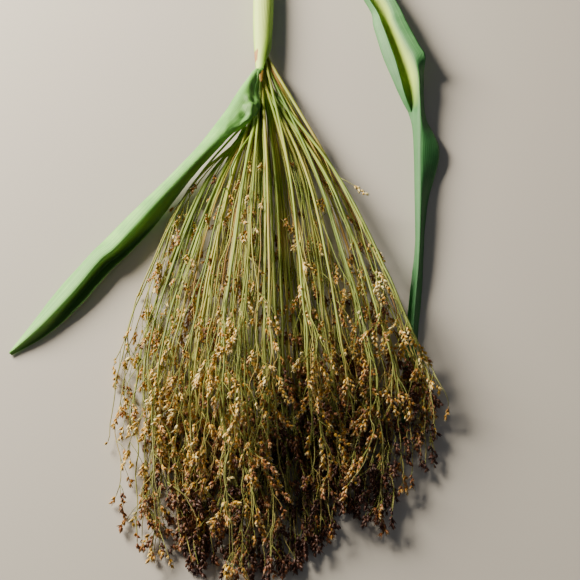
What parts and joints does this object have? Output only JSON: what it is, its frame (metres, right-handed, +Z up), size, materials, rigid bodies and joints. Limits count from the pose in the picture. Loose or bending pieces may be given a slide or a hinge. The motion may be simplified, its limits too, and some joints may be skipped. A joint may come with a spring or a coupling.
{
  "type": "broomcorn sorghum head",
  "caption": "Cut head of broomcorn, a sorghum: long fanned branches with small husked grains, on a leafy stalk that lies flat.",
  "frame": {"origin": "centre of the bottom of the bounding box, on the surface the plant lies on", "axes": "+Y along the stalk towards its cut end, +Z up from the surface, +X towards the lower leaf's side"},
  "size_m": [0.338, 0.7722, 0.0487],
  "materials": {
    "stalk": "smooth, slightly waxy",
    "flag_leaf": "matt, with a waxy bloom",
    "lower_leaf": "matt, with a waxy bloom",
    "head": "satin"
  },
  "bodies": {
    "root": {"stalk": "stalk", "flag_leaf": "flag_leaf", "lower_leaf": "lower_leaf", "head": "head"}
  },
  "joints": []
}
